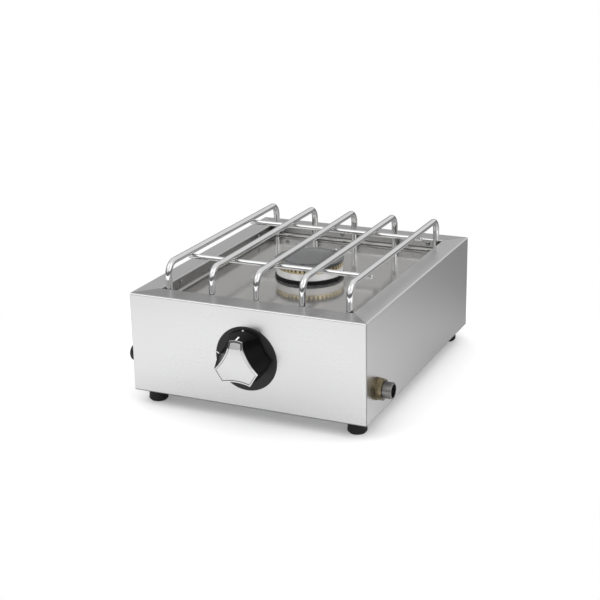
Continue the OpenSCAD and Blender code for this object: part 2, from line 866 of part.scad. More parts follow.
// Holder: body, gas nose on the left and two arms up to the bracket
module injector_holder() {
    low = cup_under - bracket_t;
    nose_end = -holder_r - nose_len;
    body_low = axis_z - 8.5;
    arm_z = axis_z - arm_low;
    arm_h = 6;
    arm_w = 10;
    color("#b8860b") at_burner() difference() {
        union() {
            translate([0, 0, body_low]) cylinder(r = holder_r, h = injector_seat - body_low);
            translate([-arm_w / 2, -post_y - arm_r, arm_z]) cube([arm_w, 2 * (post_y + arm_r), arm_h]);
            rod([0, 0, axis_z], [nose_end, 0, axis_z], nose_r);
            for (s = [-1, 1]) {
                rod([0, s * post_y, arm_z], [0, s * post_y, low], arm_r);
                rod([0, s * post_y, arm_z], [0, s * post_y, cup_under + cup_wall - 1], m4_r);
            }
        }
        rod([0, 0, axis_z], [0, 0, injector_seat + cut], injector_r + slip_fit);
        rod([0, 0, axis_z], [nose_end - cut, 0, axis_z], gas_way_r);
        rod([nose_end + tube_in, 0, axis_z], [nose_end - cut, 0, axis_z], tube_r + run_fit);
    }
}

// Tube from the tap's outlet to the injector holder
module supply_tube() {
    start = [knob_x - barrel_r - nose_len + tube_in, outlet_y, axis_z];
    end = [-holder_r - nose_len + tube_in - loose_fit, burner_y, axis_z];
    color("silver") placed() bent_rod([start, [tube_x, outlet_y, axis_z], [tube_x, burner_y, axis_z], end],
        tube_bend, tube_r);
}

// Union nut whose threaded end is at the origin, pointing along +Z
module union_nut() {
    length = tube_in + nose_len;
    thread = tube_in + loose_fit;
    difference() {
        hexagon(nut_af, length);
        translate([0, 0, thread]) cylinder(r = tube_r + hole_fit, h = length);
        translate([0, 0, -cut]) cylinder(r = nose_r + run_fit, h = thread + cut);
    }
}

module tube_nuts() {
    color("#b8860b") placed() {
        translate([knob_x - barrel_r - nose_len + tube_in, outlet_y, axis_z]) rotate([0, -90, 0]) union_nut();
        translate([-holder_r - nose_len + tube_in, burner_y, axis_z]) rotate([0, -90, 0]) union_nut();
    }
}

// Straight pipe through both side walls, open on the right
module gas_pipe() {
    left = -half_w - pipe_out_left;
    right = half_w + pipe_out_right;
    thread_end = half_w + pipe_washer_t + lock_nut_t;
    edge = 1;
    port_r = 3;
    color("#5c5d60") placed() difference() {
        union() {
            rod([left, ramp_y, ramp_z], [thread_end, ramp_y, ramp_z], pipe_r);
            rod([thread_end, ramp_y, ramp_z], [right - edge, ramp_y, ramp_z], inlet_r);
            translate([right - edge, ramp_y, ramp_z]) rotate([0, 90, 0])
                cylinder(r1 = inlet_r, r2 = inlet_r - edge, h = edge);
        }
        rod([left - cut, ramp_y, ramp_z], [right + cut, ramp_y, ramp_z], pipe_bore_r);
        rod([knob_x, ramp_y, ramp_z], [knob_x, ramp_y, ramp_z + pipe_r + cut], port_r);
    }
}

// Domed plug in the left end of the pipe
module pipe_plug() {
    left = -half_w - pipe_out_left;
    dome = 3;
    spigot = 10;
    color("#1c1c1e") placed() translate([left, ramp_y, ramp_z]) rotate([0, -90, 0]) {
        translate([0, 0, -spigot]) cylinder(r = pipe_bore_r - run_fit, h = spigot);
        rotate_extrude() {
            square([pipe_r, plug_len - dome]);
            square([pipe_r - dome, plug_len]);
            intersection() {
                translate([pipe_r - dome, plug_len - dome]) circle(dome);
                translate([pipe_r - dome, plug_len - dome]) square(dome);
            }
        }
    }
}

// Puts a piece on both faces of both side walls, with its Z axis away from the wall
module wall_faces() {
    for (s = [0, 1]) mirror([s, 0, 0]) {
        translate([half_w, ramp_y, ramp_z]) rotate([0, 90, 0]) children();
        translate([half_w - sheet, ramp_y, ramp_z]) rotate([0, -90, 0]) children();
    }
}

module pipe_washers() {
    color("#d8b13a") placed() wall_faces() difference() {
        cylinder(r = pipe_washer_r, h = pipe_washer_t);
        translate([0, 0, -cut]) cylinder(r = pipe_r + hole_fit, h = pipe_washer_t + 2 * cut);
    }
}

module pipe_lock_nuts() {
    color("#d8b13a") placed() wall_faces() translate([0, 0, pipe_washer_t]) difference() {
        intersection() {
            hexagon(lock_nut_af, lock_nut_t);
            cylinder(r1 = lock_nut_af / sqrt(3) + 4, r2 = lock_nut_af / 2 + 0.6, h = lock_nut_t);
        }
        translate([0, 0, -cut]) cylinder(r = pipe_r + run_fit, h = lock_nut_t + 2 * cut);
    }
}

// Plate with round ends, long along X and extruded along +Z
module oval_plate(half_len, r, h) {
    linear_extrude(h) {
        square([2 * half_len, 2 * r], center = true);
        for (s = [-1, 1]) translate([s * half_len, 0]) circle(r);
    }
}

// Moves a piece to the stem's axis, with Z pointing forwards from depth y
module on_stem(y) {
    placed() translate([knob_x, y, axis_z]) rotate([90, 0, 0]) children();
}

// Tap body: barrel along Y, saddle over the pipe, outlet nose on the left
module tap_body() {
    ear_low = ramp_z + saddle_gap;
    nose_end = knob_x - barrel_r - nose_len;
    way_r = 3;
    thread_r = 7;
    thread = 5;
    spine = 6;
    color("#b8860b") placed() difference() {
        union() {
            rod([knob_x, barrel_front, axis_z], [knob_x, barrel_rear, axis_z], barrel_r);
            translate([knob_x, barrel_front + ear_t, axis_z]) rotate([90, 0, 0])
                oval_plate(cover_screw_x, ear_r, ear_t);
            translate([knob_x - saddle_half, ramp_y - barrel_r, ear_low])
                cube([2 * saddle_half, 2 * barrel_r, axis_z - spine - ear_low]);
            translate([knob_x - saddle_half, ramp_y - ear_half, ear_low])
                cube([2 * saddle_half, 2 * ear_half, ear_h]);
            rod([knob_x, outlet_y, axis_z], [nose_end, outlet_y, axis_z], nose_r);
        }
        rod([knob_x - barrel_r - cut, ramp_y, ramp_z], [knob_x + barrel_r + cut, ramp_y, ramp_z],
            pipe_r + run_fit);
        rod([knob_x, ramp_y, ramp_z], [knob_x, ramp_y, axis_z], way_r);
        translate([knob_x, cone_front, axis_z]) rotate([-90, 0, 0])
            cylinder(r1 = cone_r + run_fit, r2 = cone_tip_r + run_fit, h = cone_rear - cone_front);
        rod([knob_x, barrel_front - cut, axis_z], [knob_x, cone_front, axis_z], cone_r + loose_fit);
        rod([knob_x, cone_rear - slip_fit, axis_z], [knob_x, barrel_rear + cut, axis_z],
            cone_tip_r - loose_fit);
        rod([knob_x, barrel_rear - thread, axis_z], [knob_x, barrel_rear + cut, axis_z], thread_r + run_fit);
        rod([knob_x, outlet_y, axis_z], [nose_end - cut, outlet_y, axis_z], gas_way_r);
        rod([nose_end + tube_in + loose_fit, outlet_y, axis_z], [nose_end - cut, outlet_y, axis_z],
            tube_r + run_fit);
        for (s = [-1, 1]) {
            rod([knob_x, ramp_y + s * strap_screw_y, ear_low - cut],
                [knob_x, ramp_y + s * strap_screw_y, ear_low + ear_h + cut], m4_r + run_fit);
            rod([knob_x + s * cover_screw_x, barrel_front - cut, axis_z],
                [knob_x + s * cover_screw_x, barrel_front + ear_t + cut, axis_z], m3_r + run_fit);
        }
    }
}

// Half clamp under the pipe
module tap_strap() {
    ear_top = ramp_z - saddle_gap;
    reach = pipe_r + 2 * strap_t;
    color("silver") placed() difference() {
        union() {
            intersection() {
                rod([knob_x - saddle_half, ramp_y, ramp_z], [knob_x + saddle_half, ramp_y, ramp_z],
                    pipe_r + run_fit + strap_t);
                translate([knob_x - saddle_half, ramp_y - reach, ramp_z - reach])
                    cube([2 * saddle_half, 2 * reach, reach - saddle_gap]);
            }
            translate([knob_x - saddle_half, ramp_y - ear_half, ear_top - strap_ear_t])
                cube([2 * saddle_half, 2 * ear_half, strap_ear_t]);
        }
        rod([knob_x - saddle_half - cut, ramp_y, ramp_z], [knob_x + saddle_half + cut, ramp_y, ramp_z],
            pipe_r + run_fit);
        for (s = [-1, 1])
            rod([knob_x, ramp_y + s * strap_screw_y, ear_top - strap_ear_t - cut],
                [knob_x, ramp_y + s * strap_screw_y, ear_top + cut], m4_r + hole_fit);
    }
}

module strap_screws() {
    low = ramp_z - saddle_gap - strap_ear_t;
    length = strap_ear_t + 2 * saddle_gap + ear_h - loose_fit;
    color("silver") placed() for (s = [-1, 1]) translate([knob_x, ramp_y + s * strap_screw_y, low]) {
        translate([0, 0, -m4_head_h]) cylinder(r = m4_head_r, h = m4_head_h);
        cylinder(r = m4_r, h = length);
    }
}

// Cover that closes the front of the barrel round the stem
module tap_cover() {
    color("#b8860b") on_stem(barrel_front) difference() {
        oval_plate(cover_screw_x, cover_r, cover_t);
        translate([0, 0, -cut]) cylinder(r = stem_r + slip_fit, h = cover_t + 2 * cut);
        for (s = [-1, 1])
            translate([s * cover_screw_x, 0, -cut]) cylinder(r = m3_r + hole_fit, h = cover_t + 2 * cut);
    }
}

module cover_screws() {
    color("silver") on_stem(barrel_front) for (s = [-1, 1]) translate([s * cover_screw_x, 0, 0]) {
        translate([0, 0, -ear_t]) cylinder(r = m3_r, h = ear_t + cover_t);
        translate([0, 0, cover_t]) cylinder(r = 2 * m3_r - hole_fit, h = round_head_h);
    }
}

// Round bar with a flat along it, up to height h
module d_bar(r, h) {
    intersection() {
        cylinder(r = r, h = h);
        translate([-r, -r, 0]) cube([2 * r, r * (1 + flat_at), h]);
    }
}

// Tapered plug that opens and shuts the gas ways
module tap_cone() {
    length = cone_rear - cone_front;
    socket = 11;
    port_z = 5;
    port_r = 1.8;
    color("#c9a227") on_stem(cone_rear - slip_fit) difference() {
        cylinder(r1 = cone_tip_r, r2 = cone_r, h = length);
        translate([0, 0, length - socket]) d_bar(stem_r + run_fit, socket + cut);
        translate([0, 0, -cut]) cylinder(r = push_pin_r + 0.3, h = length);
        translate([0, 0, port_z]) rotate([0, 90, 0]) cylinder(r = port_r, h = 2 * cone_r);
    }
}

// Stem from the cone's socket to the knob, with a collar and a push pin
module tap_stem() {
    back = cone_front + push;
    front = grip_face - stem_in;
    length = back + half_d + front;
    pin_out = 2;
    color("silver") on_stem(back) {
        d_bar(stem_r, length);
        translate([0, 0, back - barrel_front - collar_in - collar_t])
            cylinder(r = stem_r + collar_t, h = collar_t);
        translate([0, 0, back - cone_rear - pin_out])
            cylinder(r = push_pin_r, h = cone_rear - back + pin_out + cut);
    }
}

// Return spring as two closed turns behind the stem's collar
module stem_spring() {
    wire = 0.5;
    collar_back = barrel_front + collar_in + collar_t;
    color("silver") on_stem(collar_back + hole_fit) for (i = [0, 1])
        translate([0, 0, -wire - i * 3 * wire]) rotate_extrude()
            translate([stem_r + collar_in + wire, 0]) circle(wire, $fn = 24);
}

// Flame failure magnet screwed into the rear of the barrel
module magnet_unit() {
    thread_r = 7;
    thread = 4.5;
    hex_af = 18;
    hex_h = 3;
    case_r = 8;
    color("silver") on_stem(barrel_rear) difference() {
        union() {
            translate([0, 0, -cut]) cylinder(r = thread_r, h = thread + cut);
            translate([0, 0, -hex_h]) hexagon(hex_af, hex_h);
            translate([0, 0, -magnet_len]) cylinder(r = case_r, h = magnet_len - cut);
        }
        translate([0, 0, -magnet_len - cut]) cylinder(r = lead_nose_r + hole_fit, h = lead_nose + cut);
    }
}

// Rod that feels the flame, with a collar on the pan floor
module thermocouple() {
    centre = rim_z + probe_rise - probe_r;
    tail = floor_z - sensor_tail;
    collar_h = 2;
    color("silver") placed() translate([probe_xy[0], probe_xy[1], 0]) {
        translate([0, 0, tail]) cylinder(r = probe_r, h = centre - tail);
        translate([0, 0, centre]) sphere(r = probe_r);
        translate([0, 0, floor_z]) cylinder(r = probe_r + 1, h = collar_h);
    }
}

module thermocouple_nut() {
    nut_h = 4;
    color("#b8860b") placed() translate([probe_xy[0], probe_xy[1], pan_under - nut_h]) difference() {
        hexagon(4 * probe_r, nut_h);
        translate([0, 0, -cut]) cylinder(r = probe_r + run_fit, h = nut_h + 2 * cut);
    }
}

// Thin lead from the magnet unit to the foot of the thermocouple
module thermocouple_lead() {
    lead_x = 40;
    lead_r = 1;
    start_y = barrel_rear + magnet_len - lead_nose;
    turn_y = start_y + 36;
    nut_len = 8;
    color("#b87333") placed() {
        bent_rod([[knob_x, start_y, axis_z], [knob_x, turn_y, axis_z], [lead_x, turn_y, axis_z],
            [lead_x, probe_xy[1], axis_z], [probe_xy[0], probe_xy[1], axis_z],
            [probe_xy[0], probe_xy[1], floor_z - sensor_tail]], lead_bend, lead_r);
        translate([knob_x, start_y, axis_z]) rotate([-90, 0, 0]) cylinder(r = lead_nose_r, h = lead_nose);
        translate([knob_x, start_y + lead_nose, axis_z]) rotate([-90, 0, 0])
            hexagon(2 * lead_nose_r + 1, nut_len);
    }
}

// Ceramic body of the spark electrode
module spark_electrode() {
    collar_h = 2;
    color("white") placed() translate([electrode_xy[0], electrode_xy[1], 0]) difference() {
        union() {
            translate([0, 0, floor_z - sensor_tail]) cylinder(r = ceramic_r, h = 2 * sensor_tail);
            translate([0, 0, floor_z]) cylinder(r = ceramic_r + 1, h = collar_h);
            translate([0, 0, pan_under - collar_h]) cylinder(r = ceramic_r + 1.6, h = collar_h);
        }
        translate([0, 0, floor_z - sensor_tail - cut])
            cylinder(r = pin_r + run_fit, h = 2 * (sensor_tail + cut));
    }
}

module electrode_pin() {
    low = floor_z - pin_tail;
    color("silver") placed() translate([electrode_xy[0], electrode_xy[1], low])
        cylinder(r = pin_r, h = rim_z + electrode_rise - low);
}

// High voltage lead from the igniter to the electrode
module igniter_lead() {
    lead_x = -32;
    lead_r = 1.2;
    lead_z = axis_z + piezo_h - loose_fit;
    start_y = ramp_y + piezo_rear;
    turn_y = barrel_rear + 13;
    color("#8c2f23") placed() bent_rod([[knob_x, start_y, lead_z], [knob_x, turn_y, lead_z],
        [lead_x, turn_y, lead_z], [lead_x, electrode_xy[1], lead_z],
        [electrode_xy[0], electrode_xy[1], lead_z], [electrode_xy[0], electrode_xy[1], floor_z - pin_tail]],
        lead_bend, lead_r);
}

// Igniter that saddles the top of the tap barrel
module piezo_igniter() {
    low = axis_z + 4;
    width = 18;
    front = 10;
    color("#2b2b2e") placed() difference() {
        translate([knob_x - width / 2, ramp_y - front, low]) cube([width, front + piezo_rear, piezo_h]);
        rod([knob_x, ramp_y - front - cut, axis_z], [knob_x, ramp_y + piezo_rear + cut, axis_z],
            barrel_r + run_fit);
    }
}

// Moves a piece onto the front panel: X right, Y up, Z out of the panel
module on_panel() {
    translate([knob_x, -half_d, axis_z]) rotate([90, 0, 0]) children();
}

module disc_peg_places() {
    for (s = [-1, 1]) translate([s * peg_x, 0, 0]) children();
}

// Flat disc behind the knob, held by two pegs in the panel
module knob_disc() {
    edge = min(1, disc_t - 0.2);
    color("#18181a") placed() on_panel() {
        difference() {
            rotate_extrude()
                polygon([[0, 0], [disc_r, 0], [disc_r, disc_t - edge], [disc_r - edge, disc_t], [0, disc_t]]);
            translate([0, 0, -cut]) cylinder(r = stem_hole_r, h = disc_t + 2 * cut);
        }
        disc_peg_places() translate([0, 0, -sheet - peg_r]) cylinder(r = peg_r, h = sheet + peg_r);
    }
}

// Distance from the panel to the grip's base, and the height of the grip over it
grip_gap = disc_t + push + grip_clear;
grip_h = grip_face - grip_gap;

// Scoops that narrow the grip on both sides towards its top
module grip_scoops(inset) {
    scoop_x = 71;
    scoop_y = 42;
    base_r = 54.4;
    face_r = 65.3;
    for (s = [0, 1]) mirror([s, 0, 0]) translate([scoop_x, scoop_y, grip_gap])
        cylinder(r1 = base_r + inset, r2 = face_r + inset, h = grip_h, $fn = 128);
}

// Flats that bevel the lower corners of the grip
module grip_flats(inset) {
    flat_x = 26.7;
    flat_y = -7.5;
    turn = 33.4;
    lean = 1.8;
    reach = 40;
    for (s = [0, 1]) mirror([s, 0, 0]) translate([flat_x, flat_y, grip_face])
        rotate([0, 0, -turn]) rotate([0, -lean, 0])
            translate([-inset, -reach, -reach]) cube([reach, 2 * reach, 2 * reach]);
}

// Shallow hollow along the lower edge of the grip
module grip_hollow(inset) {
    hollow_r = 64.6;
    hollow_y = -12;
    lean = 6.5;
    over = 30;
    tilt = atan(lean / grip_h);
    translate([0, hollow_y - hollow_r, grip_gap]) rotate([tilt, 0, 0]) translate([0, 0, -over])
        cylinder(r = hollow_r * cos(tilt) + inset, h = grip_h + 2 * over, $fn = 128);
}

// Outline of the grip, drawn in by an inset all round
module grip_form(inset) {
    difference() {
        translate([0, 0, grip_gap])
            cylinder(r1 = grip_base_r - inset, r2 = grip_face_r - inset, h = grip_h, $fn = 96);
        grip_scoops(inset);
        grip_flats(inset);
        grip_hollow(inset);
    }
}

// Block over the panel, wider than the grip on all sides
module grip_block(h) {
    side = 3 * grip_base_r;
    translate([-side / 2, -side / 2, 0]) cube([side, side, h]);
}

// Space over the grip's top surface, lowered by a drop: the face and the sloping facet at its top end
module over_grip(drop) {
    facet_from = 21;
    facet_drop = 2.5;
    facet_run = 9;
    translate([0, 0, grip_face - drop]) {
        grip_block(grip_face);
        translate([0, facet_from, 0]) rotate([-atan(facet_drop / facet_run), 0, 0])
            translate([0, 1.5 * grip_base_r, 0]) grip_block(grip_face);
    }
}

// Black grip: hollow shell with a hub for the stem
module knob_grip() {
    hub_r = 7.5;
    hub_sink = 1;
    roof = 4;
    inside = grip_face - plate_t - roof;
    color("#111113") placed() on_panel() difference() {
        union() {
            difference() {
                grip_form(0);
                over_grip(plate_t);
                intersection() {
                    grip_form(grip_wall);
                    grip_block(inside);
                }
            }
            translate([0, 0, grip_gap]) cylinder(r = hub_r, h = inside - grip_gap + hub_sink);
        }
        translate([0, 0, grip_gap - cut])
            d_bar(stem_r + run_fit, grip_face - stem_in + loose_fit - grip_gap + cut);
    }
}

// Thin layer under the grip's top surface, as deep as the plate
module plate_layer() {
    difference() {
        children();
        difference() {
            grip_block(grip_face);
            over_grip(plate_t);
        }
    }
}

// Silver face plate inside the bright rim
module knob_face() {
    groove = 0.7;
    face_drop = 0.3;
    color("#b9babd") placed() on_panel() plate_layer() difference() {
        grip_form(rim_w + groove);
        over_grip(face_drop);
    }
}

// Bright rim round the face plate
module knob_rim() {
    color("#e8e9ec") placed() on_panel() plate_layer() difference() {
        grip_form(0);
        grip_form(rim_w);
        over_grip(0);
    }
}

front_panel();
rear_panel();
left_panel();
right_panel();
corner_gussets();
base_plate();
base_screws();
foot(-1, -1);  // foot_front_left
foot(1, -1);  // foot_front_right
foot(-1, 1);  // foot_rear_left
foot(1, 1);  // foot_rear_right
foot_screws();
foot_nuts();
drip_pan();
pan_screws();
grate_bar(1);  // grate_bar_1
grate_bar(2);  // grate_bar_2
grate_bar(3);  // grate_bar_3
grate_bar(4);  // grate_bar_4
grate_bar(5);  // grate_bar_5
grate_cross_rod(open_front + cross_front);  // grate_cross_rod_front
grate_cross_rod(open_rear - cross_rear);  // grate_cross_rod_rear
burner_base_ring();
burner_cup();
burner_crown();
burner_cap();
burner_bracket();
bracket_studs();
bracket_nuts();
cup_screws();
mixing_tube();
injector();
injector_holder();
supply_tube();
tube_nuts();
gas_pipe();
pipe_plug();
pipe_washers();
pipe_lock_nuts();
tap_body();
tap_strap();
strap_screws();
tap_cover();
cover_screws();
tap_cone();
tap_stem();
stem_spring();
magnet_unit();
thermocouple();
thermocouple_nut();
thermocouple_lead();
spark_electrode();
electrode_pin();
igniter_lead();
piezo_igniter();
knob_disc();
knob_grip();
knob_face();
knob_rim();
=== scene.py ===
import json
import math

import bpy
from mathutils import Matrix, Vector


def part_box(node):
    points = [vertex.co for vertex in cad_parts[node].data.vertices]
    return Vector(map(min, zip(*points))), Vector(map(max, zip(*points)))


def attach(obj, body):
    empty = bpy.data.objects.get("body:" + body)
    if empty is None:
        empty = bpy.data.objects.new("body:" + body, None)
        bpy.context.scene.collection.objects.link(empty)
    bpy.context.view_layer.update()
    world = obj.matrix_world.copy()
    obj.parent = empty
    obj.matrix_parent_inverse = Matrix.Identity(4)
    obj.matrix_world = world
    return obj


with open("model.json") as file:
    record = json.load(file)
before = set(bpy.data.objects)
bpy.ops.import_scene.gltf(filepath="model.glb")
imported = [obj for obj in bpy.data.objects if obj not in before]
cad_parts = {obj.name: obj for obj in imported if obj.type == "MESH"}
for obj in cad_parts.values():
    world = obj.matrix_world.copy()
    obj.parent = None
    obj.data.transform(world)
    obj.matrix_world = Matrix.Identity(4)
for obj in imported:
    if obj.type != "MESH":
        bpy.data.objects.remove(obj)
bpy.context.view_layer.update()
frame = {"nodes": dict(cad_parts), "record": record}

nodes = frame["nodes"]
print("burner: frame loaded,", len(nodes), "pieces")


view = {
    "turn": 24.58,                # degrees round from straight in front
    "rise": 18.58,                # degrees above level
    "roll": -1.06,                # degrees the camera leans over
    "distance": 1.6831,
    "slide": (-0.0134, 0.0704),   # metres to the right and up, square to the view
    "lens": 78.62,
    "film": 36,
    "aim": (-0.0015, 0.01425, 0.017),
    "farthest": 60,
}


def placeCamera():
    turn, rise, roll = (math.radians(view[k]) for k in ("turn", "rise", "roll"))
    back = Vector((
        math.sin(turn) * math.cos(rise), -math.cos(turn) * math.cos(rise), math.sin(rise)))
    right = Vector((math.cos(turn), math.sin(turn), 0))
    up = back.cross(right)
    tilted = right * math.cos(roll) + up * math.sin(roll)
    upright = up * math.cos(roll) - right * math.sin(roll)
    aside, lift = view["slide"]
    spot = Vector(view["aim"]) + back * view["distance"] + tilted * aside + upright * lift
    data = bpy.data.cameras.new("camera")
    data.lens = view["lens"]
    data.sensor_width = view["film"]
    data.clip_end = view["farthest"]
    camera = bpy.data.objects.new("camera", data)
    bpy.context.scene.collection.objects.link(camera)
    camera.matrix_world = Matrix((
        (tilted.x, upright.x, back.x, spot.x),
        (tilted.y, upright.y, back.y, spot.y),
        (tilted.z, upright.z, back.z, spot.z),
        (0, 0, 0, 1)))
    bpy.context.scene.camera = camera


placeCamera()
bpy.context.scene.view_settings.view_transform = "Standard"
print("burner: camera placed")


class Strand:  # a shader socket that takes Python arithmetic
    def __init__(self, board, socket):
        self.board = board
        self.socket = socket

    def maths(self, operation, *values):
        return self.board.node("ShaderNodeMath", {"operation": operation}, dict(enumerate(values)))

    def __add__(self, other):
        return self.maths("ADD", self, other)

    def __radd__(self, other):
        return self.maths("ADD", other, self)

    def __sub__(self, other):
        return self.maths("SUBTRACT", self, other)

    def __rsub__(self, other):
        return self.maths("SUBTRACT", other, self)

    def __mul__(self, other):
        return self.maths("MULTIPLY", self, other)

    def __rmul__(self, other):
        return self.maths("MULTIPLY", other, self)

    def __abs__(self):
        return self.maths("ABSOLUTE", self)

    def root(self):
        return self.maths("SQRT", self)

    def orMore(self, other):
        return self.maths("MAXIMUM", self, other)


class Board:  # a node tree, with the one method that adds nodes to it
    def __init__(self, tree, coordinates):
        self.tree = tree
        self.place = self.node("ShaderNodeTexCoord", output=coordinates)
        self.x, self.y, self.z = (
            self.node("ShaderNodeSeparateXYZ", {}, {0: self.place}, axis) for axis in "XYZ")

    def node(self, kind, settings=None, values=None, output=0):
        added = self.tree.nodes.new(kind)
        for key, value in (settings or {}).items():
            setattr(added, key, value)
        for key, value in (values or {}).items():
            if isinstance(value, Strand):
                self.tree.links.new(value.socket, added.inputs[key])
            else:
                added.inputs[key].default_value = value
        return Strand(self, added.outputs[output])

    def ease(self, value, low, high):
        return self.node("ShaderNodeMapRange", {"interpolation_type": "SMOOTHSTEP"}, {
            "Value": value, "From Min": low, "From Max": high})

    def past(self, value, line, edge):  # from 0 to 1 between two distances past a line
        return self.ease(value, line + edge[0], line + edge[1])

    def grey(self, level):
        return self.node("ShaderNodeCombineXYZ", {}, {0: level, 1: level, 2: level})

    def ray(self, kind):
        return self.node("ShaderNodeLightPath", output="Is %s Ray" % kind)


# one material from its look: a colour and the lowest roughness, and layers of pattern, each with
# its scale, detail and roughness; tint, rougher and relief say how much of each layer goes into
# the colour, the roughness and the height, and the colour spreads or turns deep in patches
class Finish(Board):
    def __init__(self, name, look):
        self.material = bpy.data.materials.new(name)
        self.material.use_nodes = True
        super().__init__(self.material.node_tree, "Object")
        self.shader = self.tree.nodes["Principled BSDF"]
        self.look = look
        self.set("Base Color", (*look["colour"], 1))
        self.set("Roughness", look["roughness"])
        self.set("Metallic", look.get("metallic", 0.0))
        for key, value in look.get("fixed", {}).items():
            self.set(key, value)
        layers = look.get("layers", {})
        self.layers = {kind: self.layer(kind, *shape) for kind, shape in layers.items()}
        if self.layers:
            self.tone = self.toned()
            self.set("Base Color", self.tone)
            self.set("Roughness", self.weighed(look["rougher"], look["roughness"]))
            if look["relief"]:
                self.bump(self.weighed(look["relief"]), look["depth"], look["strength"])

    def set(self, name, value):
        if isinstance(value, Strand):
            self.tree.links.new(value.socket, self.shader.inputs[name])
        else:
            self.shader.inputs[name].default_value = value

    def stretched(self, place, scale):
        scales = scale if isinstance(scale, tuple) else (scale, scale, scale)
        return self.node("ShaderNodeVectorMath", {"operation": "MULTIPLY"}, {0: place, 1: scales})

    def roundBurner(self):   # how far out from the middle of the burner, and how high
        u = self.x - burnerMiddle.x
        v = self.y - burnerMiddle.y
        return self.node("ShaderNodeCombineXYZ", {}, {0: (u * u + v * v).root(), 2: self.z})

    def layer(self, kind, scale, detail=2.0, roughness=0.5):
        place = self.roundBurner() if kind == "rings" else self.place
        spot = self.stretched(place, scale)
        if kind == "flakes":
            flake = self.node("ShaderNodeTexVoronoi", {}, {"Vector": spot, "Scale": 1.0}, "Color")
            return self.node("ShaderNodeSeparateColor", {}, {0: flake})
        return self.node("ShaderNodeTexNoise", {}, {
            "Vector": spot, "Scale": 1.0, "Detail": detail, "Roughness": roughness})

    def weighed(self, shares, start=0):
        return sum((self.layers[kind] * share for kind, share in shares.items()), start)

    def blend(self, mask, first, second):   # 6, 7 and output 2 are the colour sockets
        first, second = ((*c, 1) if isinstance(c, tuple) else c for c in (first, second))
        return self.node("ShaderNodeMix", {"data_type": "RGBA"}, {0: mask, 6: first, 7: second}, 2)

    def toned(self):
        look = self.look
        mask = self.weighed(look["tint"])
        if "patches" in look:
            mask = self.ease(mask, *look["patches"]) * look["patchShare"]
            return self.blend(mask, look["colour"], look["deep"])
        darker = tuple(c * (1 - look["spread"]) for c in look["colour"])
        lighter = tuple(min(1, c * (1 + look["spread"])) for c in look["colour"])
        return self.blend(mask, darker, lighter)

    def bump(self, height, depth, strength):
        self.set("Normal", self.node("ShaderNodeBump", {}, {
            "Strength": strength, "Distance": depth, "Height": height}))

    def on(self, *names):
        dressed.update(names)
        for name in names:
            mesh = nodes[name].data
            mesh.materials.clear()
            mesh.materials.append(self.material)


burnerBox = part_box("burner_cap")
burnerMiddle = (burnerBox[0] + burnerBox[1]) / 2
dressed = set()   # the pieces that have their finish


table = {
    "size": 30.0,
    "colour": (0.98, 0.98, 0.98),
    "roughness": 0.9,
    "fade": (0.24, 0.5),       # metres from the middle over which the shadow fades to white
    "shadow": 0.8,             # how much of the table the lamps light near the burner
    "gloss": (1.1, 1.66),      # how bright metal sees the table in front, near and further out
    "glossReach": (0.2, 0.5),  # metres over which it goes from one to the other
    "side": 0.5,               # how bright metal sees it beside and behind the burner
    "sideLean": (1.1, 0.95),   # and how much more to the right and to the front, by the metre
    "sideLimits": (0.34, 1.3),
    "sideStart": (-0.22, -0.04),
    "dark": 0.2,               # how bright metal sees it further out than its edge
    "edge": (0.8, 1.1),
}


def layTable():
    bpy.ops.object.select_all(action="DESELECT")
    bpy.ops.mesh.primitive_plane_add(size=table["size"], location=(0, 0, 0))
    top = bpy.context.active_object
    top.name = "table_top"
    cover = Finish("table white", table)
    reach = (cover.x * cover.x + cover.y * cover.y).root()
    close, further = table["gloss"]
    front = close + (further - close) * cover.ease(reach, *table["glossReach"])
    right, forward = table["sideLean"]
    least, most = table["sideLimits"]
    side = table["side"] + cover.x * right - cover.y * forward
    side = cover.node("ShaderNodeClamp", {}, {"Value": side, "Min": least, "Max": most})
    glossy = front + (side - front) * cover.ease(cover.y, *table["sideStart"])
    glossy = glossy + (table["dark"] - glossy) * cover.ease(reach, *table["edge"])
    glossyRay = cover.ray("Glossy")
    seen = cover.grey(1.0 + glossyRay * (glossy - 1.0))
    cover.set("Base Color", cover.node(
        "ShaderNodeMix", {"data_type": "RGBA", "blend_type": "MULTIPLY"},
        {0: 1.0, 6: (*table["colour"], 1), 7: seen}, 2))
    glow = cover.node("ShaderNodeEmission", {}, {"Color": seen, "Strength": 1.0})
    direct = cover.ray("Camera").orMore(glossyRay).orMore(cover.ray("Transmission"))
    near = 1 - cover.ease(reach, *table["fade"])
    lit = Strand(cover, cover.shader.outputs[0])
    mixed = cover.node("ShaderNodeMixShader", {}, {
        0: direct * (1 - near * table["shadow"]), 1: lit, 2: glow})
    cover.tree.links.new(mixed.socket, cover.tree.nodes["Material Output"].inputs["Surface"])
    cover.material.cycles.emission_sampling = "NONE"
    top.data.materials.append(cover.material)


# how bright metal sees the room; rises, feet and tops are sines of the angle above level
room = {
    "dull": 1.28,              # light on dull surfaces from all round
    "dark": 0.2,               # low in the room
    "rear": (0.46, 0.90),      # at the rear, low on the left, then above it and to the right
    "rearTilt": 0.5,           # how much lower it starts to the right
    "rearRise": (0.12, 0.32),
    "rearFoot": (-0.02, 0.16),
    "front": 1.15,             # in front, high up
    "frontRise": (0.24, 0.5),
    "turnToFront": (-0.35, 0.15),   # cosine of the angle from straight in front
    "softLight": 1.25,         # two soft lights in front
    "lean": 0.5,               # how much brighter the right one is
    "lightFoot": (0.12, 0.28),
    "lightTop": (0.34, 0.6),
    "gapWay": (0.416, 0.909),  # the way to the dark gap between them, right and forward
    "gap": (0.87, 0.94),       # cosine of the angle from it
    "zenith": 1.0,             # straight above
    "zenithRise": (0.45, 0.85),
}


